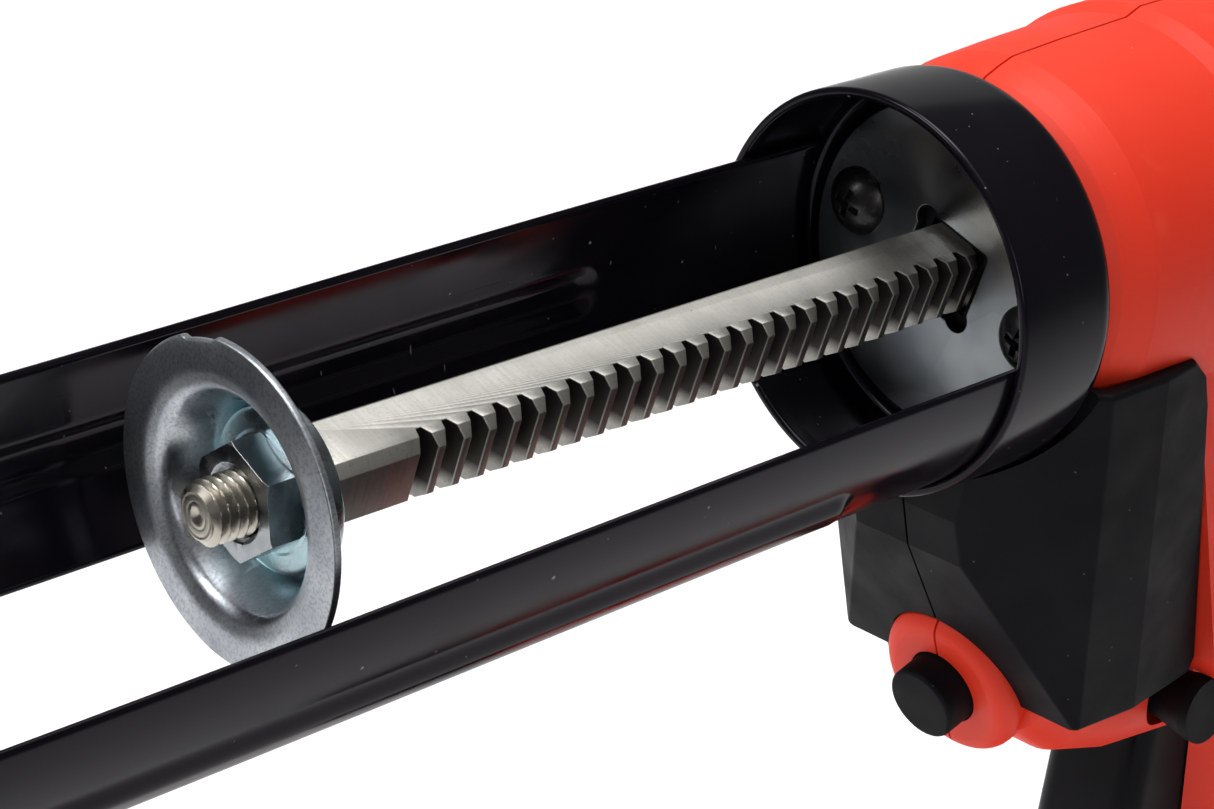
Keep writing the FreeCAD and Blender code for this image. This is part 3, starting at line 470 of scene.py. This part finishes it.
def collar():
    """A cup with a bored floor, a rounded rear edge and a lip that is a little thicker."""
    floor_front, lip_rear, lip_bore = -123.4, -108.6, 26.85
    outline = rounded([(COLLAR_REAR, COLLAR_HOLE, 0.2), (COLLAR_REAR, COLLAR_R, 3.0),
                       (COLLAR_FRONT, COLLAR_R, 0.75), (COLLAR_FRONT, lip_bore, 0.65),
                       (lip_rear, COLLAR_BORE, 0.8), (floor_front, COLLAR_BORE, 1.8),
                       (floor_front, COLLAR_HOLE, 0.2)], 8)
    vertices, faces = turned(outline, 300)
    add_piece("collar_finished", vertices, faces, "carrier", "black_enamel", ["rear_collar"])


def rail_stations():
    """Places along a rail: coarse steps, and fine ones within reach of an end of its rib."""
    coarse, fine, reach, inset = 2.6, 0.55, 7, 0.3
    stations = [RAIL_REAR, RAIL_REAR + inset]
    while stations[-1] < RAIL_FRONT - 1.6:
        x = stations[-1]
        near_end = min(abs(x - RIB_REAR), abs(x - RIB_FRONT)) < reach
        stations.append(x + (fine if near_end else coarse))
    # the last coarse step lands 0.2 mm past the place just before the end
    return stations + [RAIL_FRONT - inset, RAIL_FRONT]


def rail(side, node):
    """A bent strip with a pressed rib, turned a degree and sagging slightly between its ends."""
    across, rib_half, rib_slope, edge_round = 72, 3.9, 2.9, 0.5
    middle, half = (RAIL_TOP + RAIL_BOTTOM) / 2, (RAIL_TOP - RAIL_BOTTOM) / 2
    turn = Matrix.Rotation(RAIL_TURN, 4, "X")
    stations = rail_stations()
    vertices = []
    for x in stations:
        # the sag grows over 130 mm from x = -85, and dies away over the 45 mm before x = 92
        sag = RAIL_SAG * smoothstep((x + 85) / 130) * smoothstep((92 - x) / 45)
        past = max(0.0, RIB_REAR - x, x - RIB_FRONT)
        for layer in (0, 1):
            for k in range(across + 1):
                t = k / across if layer == 0 else 1 - k / across
                angle = middle + (2 * t - 1) * half
                off = hypot((angle - middle) * RAIL_MEAN, past)
                lift = RIB_LIFT * smoothstep((rib_half - off) / rib_slope)
                edge = min(t, 1 - t) * 2 * half * RAIL_MEAN
                nip = 0.34 * (1 - sqrt(1 - (1 - min(edge / edge_round, 1.0)) ** 2))
                radius = (RAIL_OUT - nip if layer == 0 else RAIL_IN + nip) + lift
                place = Vector((x, side * radius * cos(angle), radius * sin(angle)))
                vertices.append(turn @ place + DOWN * sag)
    columns = 2 * (across + 1)
    faces = grid_faces(len(stations), columns, wrap_columns=True)
    for start in (0, (len(stations) - 1) * columns):
        for k in range(across):
            faces.append((start + k, start + k + 1, start + columns - 2 - k,
                          start + columns - 1 - k))
    add_piece(node + "_finished", vertices, faces, "carrier", "black_enamel", [node], smooth=50)


# ---- plunger and push rod

def plunger_disc():
    """A dished plate: a flat rim, a sloping wall with soft bends, and a flat floor."""
    notch, notch_depth, notch_half, rim = radians(122.0), 0.55, 3.4, 18.5

    def press(x, r, angle):
        """A shallow shear notch in the rim and a faint bow, as in a stamped disc."""
        if r > rim:
            off = abs((angle - notch + pi) % (2 * pi) - pi) * 20.0
            r -= notch_depth * smoothstep(notch_half - off) * smoothstep((r - rim) / 1.2)
        bow = 0.14 * (r / 20.0) ** 2 * (cos(2 * angle + 0.7) - 1)
        return x + bow, r

    front = [(PLATE_FLOOR, PLATE_BORE, 0), (PLATE_FLOOR, 10.3, 2.2), (-4.6, 11.9, 4.0),
             (-1.0, 13.7, 3.0), (0.0, 16.1, 3.5), (0.0, PLATE_R, 0.32)]
    back = [(-1.0, PLATE_R, 0.3), (-1.0, 15.8, 3.0), (-2.2, 14.1, 2.5), (-5.6, 12.7, 3.0),
            (PLATE_BACK, 11.0, 1.6), (PLATE_BACK, PLATE_BORE, 0)]
    fine = []                             # the outline, with its long straight runs divided
    outline = rounded((front + back)[::-1], 9)
    for k, (x, r) in enumerate(outline):
        fine.append((x, r))
        ahead = outline[(k + 1) % len(outline)]
        if abs(ahead[1] - r) > 2:
            fine += [(x + (ahead[0] - x) * i / 6, r + (ahead[1] - r) * i / 6) for i in range(1, 6)]
    vertices, faces = turned(fine, 288, press)
    add_piece("plunger_disc", vertices, faces, "rod", "zinc", ["plunger_plate"])


def pressed_washer():
    """The washer under the nut: a thick disc with a rounded edge and a slightly raised middle."""
    outline = rounded([(-7.85, 4.2, 0), (-7.85, 10.1, 0.1), (-6.1, 10.1, 0.9), (-6.1, 7.6, 0.2),
                       (-5.95, 7.2, 0.2), (-5.95, 4.2, 0.1)], 6)
    vertices, faces = turned(outline, 200)
    add_piece("pressed_washer", vertices, faces, "rod", "zinc", ["nut_washer"])


def thread():
    """A helical ridge on the rod's end, turned off at its tip, with a marked end face."""
    steps, length, chamfer_start = 96, THREAD_END - THREAD_START, 3.2
    count = int(length / 0.085)
    vertices = []
    for i in range(count + 1):
        x = THREAD_START + length * i / count
        for k in range(steps):
            phase = (x / THREAD_PITCH - k / steps) % 1.0
            ridge = min(max((0.5 - abs(phase - 0.5)) / 0.40 - 0.12, 0.0), 1.0)
            radius = THREAD_ROOT + (THREAD_CREST - THREAD_ROOT) * ridge
            turned_off = THREAD_CREST - 1.10 * max(0.0, (x - chamfer_start) / 0.7)
            radius = min(radius, turned_off)
            angle = 2 * pi * k / steps
            vertices.append((x, radius * cos(angle), radius * sin(angle)))
    faces = grid_faces(count + 1, steps, wrap_columns=True)
    # turning marks and a centre hole on the end face, as (x, radius)
    rings = [(3.90, 2.75), (3.87, 2.60), (3.87, 2.35), (3.90, 2.22), (3.87, 2.05), (3.90, 1.92),
             (3.86, 1.75), (3.86, 1.55), (3.89, 1.42), (3.88, 1.10), (3.80, 0.70), (3.62, 0.30)]
    for x, radius in rings:
        base = len(vertices) - steps
        vertices += [(x, radius * cos(2 * pi * k / steps), radius * sin(2 * pi * k / steps))
                     for k in range(steps)]
        faces += [(base + k, base + (k + 1) % steps, base + steps + (k + 1) % steps,
                   base + steps + k) for k in range(steps)]
    faces.append(tuple(range(len(vertices) - steps, len(vertices))))
    faces.append(tuple(range(steps)))
    look = bright_steel("cut_thread", (0.50, 0.47, 0.41), (0.24, 0.40), scale=900)
    return add_piece("rod_thread", vertices, faces, "rod", "rod_steel", smooth=30, look=look)


def toothed_bar():
    """The rack bar with its edges broken. The rings at its threaded end are cut away."""
    mesh = nodes["rack_rod"].data.copy()
    mesh.transform(LEANING.inverted())
    work = bmesh.new()
    work.from_mesh(mesh)
    bmesh.ops.remove_doubles(work, verts=work.verts, dist=WELD)
    everything = work.verts[:] + work.edges[:] + work.faces[:]
    cut = bmesh.ops.bisect_plane(work, geom=everything, dist=1e-7, clear_outer=True,
                                 plane_co=(BAR_END * MM, 0, 0), plane_no=(1, 0, 0))
    rim = [e for e in cut["geom_cut"] if isinstance(e, bmesh.types.BMEdge)]
    bmesh.ops.contextual_create(work, geom=rim)
    bmesh.ops.dissolve_limit(work, angle_limit=radians(1), verts=work.verts, edges=work.edges)
    sharp = [e for e in work.edges if e.is_manifold and e.calc_face_angle(0) > radians(30)]
    bmesh.ops.bevel(work, geom=sharp, offset=0.14 * MM, segments=2, profile=0.5, affect="EDGES",
                    clamp_overlap=True)
    work.to_mesh(mesh)
    work.free()
    piece = bpy.data.objects.new("toothed_bar", mesh)
    bpy.context.scene.collection.objects.link(piece)
    piece.matrix_world = LEANING
    mesh.shade_smooth()
    mesh.set_sharp_from_angle(angle=radians(30))
    paint(piece, "rod_steel")
    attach(piece, "rod")
    return piece


def push_rod():
    """The toothed bar and its thread, which stand for the rack rod together."""
    bar, tip = toothed_bar(), thread()
    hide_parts("rack_rod")
    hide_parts("rack_rod")


# ---- springs behind the trigger, the front button and the battery's latch

def coil(node, start, end, radius, wire, turns):
    """A wire spring between two points of the row frame."""
    start, end = Vector(start), Vector(end)
    axis = (end - start).normalized()
    across = axis.cross(Vector((0, 1, 0))).normalized()
    beside = axis.cross(across)
    length, steps, around, slack = (end - start).length, int(turns * 28), 10, 0.1
    vertices = []
    for i in range(steps + 1):
        turn = turns * i / steps
        rise = min(max((turn - 0.8) / (turns - 1.6), 0.0), 1.0)
        angle = 2 * pi * turn
        out = across * cos(angle) + beside * sin(angle)
        centre = start + axis * (wire / 2 + rise * (length - wire)) + out * radius
        for k in range(around):
            a = 2 * pi * k / around
            vertices.append(centre + (out * cos(a) + axis * sin(a)) * wire / 2)
    faces = grid_faces(steps + 1, around, wrap_columns=True)
    faces += [tuple(range(around)), tuple(range(steps * around, (steps + 1) * around))]
    piece = add_piece(node + "_coil", vertices, faces, nodes[node]["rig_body"], "spring_steel",
                      [node], matrix=Matrix.Identity(4))
    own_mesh(piece)


def springs():
    """Each coil's CAD node, ends, radius, wire and turns."""
    coil("trigger_spring", (3.0, 0, 128.0), (17.7, 0, 128.0), 3.1, 0.9, 7.5)
    coil("release_spring", (52.0, 0, 168.7), (64.4, 0, 165.2), 2.5, 0.7, 8.0)
    coil("latch_spring", (55.0, 0, 20.0), (55.0, 0, 27.3), 2.6, 0.7, 4.5)


# ---- finishes on the CAD nodes, then the pieces that stand for some of them

for row in frame["record"]["subparts"]:
    paint(nodes[row["node"]], row["material_slot"])

collar()
rail(1, "side_rail_left")
rail(-1, "side_rail_right")
plunger_disc()
pressed_washer()
push_rod()
springs()
softened("plunger_nut", "nickel", 0.13)
softened("retaining_plate", "galvanised", 0.16)
softened("plate_screws", "black_screws", 0.16)
softened("release_button", "black_shell", 0.25)
softened("direction_button", "black_shell", 0.25)
softened("trigger", "trigger_black", 0.4)


# ---- studio and camera

def emitter(name, place, target, size, watts, spread=180):
    """A square lamp turned to its target: places and size in metres, spread in degrees."""
    light = bpy.data.lights.new(name, "AREA")
    light.shape, light.size = "SQUARE", size
    light.energy, light.spread = watts, radians(spread)
    lamp = bpy.data.objects.new(name, light)
    lamp.location = place
    direction = Vector(target) - Vector(place)
    lamp.rotation_euler = direction.to_track_quat("-Z", "Y").to_euler()
    bpy.context.scene.collection.objects.link(lamp)


def floor():
    """A flat white floor, which reaches size metres each way from the origin."""
    size = 6.0
    mesh = bpy.data.meshes.new("studio_floor")
    mesh.from_pydata([(-size, -size, 0), (size, -size, 0), (size, size, 0), (-size, size, 0)],
                     [], [(0, 1, 2, 3)])
    sheet = bpy.data.objects.new("studio_floor", mesh)
    bpy.context.scene.collection.objects.link(sheet)
    look = Finish("studio_white", (0.93, 0.93, 0.93), 0.9, Specular_IOR_Level=0.1)
    look.bump(look.noise(40, 2), 0.02, 0.2)
    mesh.materials.append(look.material)


def studio():
    """A faint white world and five square lamps."""
    world = bpy.data.worlds.new("studio")
    world.use_nodes = True
    background = world.node_tree.nodes["Background"]
    background.inputs["Color"].default_value = (1.0, 1.0, 1.0, 1.0)
    background.inputs["Strength"].default_value = 0.15
    bpy.context.scene.world = world
    emitter("floor_panel", (-0.35, -0.55, 1.7), (-0.35, -0.55, 0), 1.8, 8.5, 50)
    emitter("top_panel", (0.15, 0.1, 1.4), (0.15, 0.0, 0.2), 1.2, 4)
    emitter("key_panel", (1.05, -0.45, 1.05), (0.15, 0, 0.22), 0.55, 8.0)
    emitter("back_panel", (-0.9, -1.0, 0.6), (0.0, 0.0, 0.25), 1.2, 1.5)
    emitter("fill_panel", (0.75, 1.15, 0.55), (0.1, 0, 0.2), 0.5, 2.5)


def camera():
    """The camera: the directions of its right, up and back, and its place in metres."""
    data = bpy.data.cameras.new("camera")
    data.lens, data.sensor_width = 94.0, 36.0
    data.clip_start, data.clip_end = 0.02, 50.0
    eye = bpy.data.objects.new("camera", data)
    bpy.context.scene.collection.objects.link(eye)
    right = Vector((-0.7353, 0.67723, 0.02699))
    up = Vector((-0.2485, -0.30643, 0.91887))
    back = Vector((0.6305, 0.66894, 0.39362))
    place = Vector((0.386816, 0.266235, 0.385274))
    axes = Matrix((right, up, back)).transposed().to_4x4()
    eye.matrix_world = Matrix.Translation(place) @ axes
    bpy.context.scene.camera = eye


floor()
studio()
camera()
bpy.context.scene.view_settings.view_transform = "Standard"
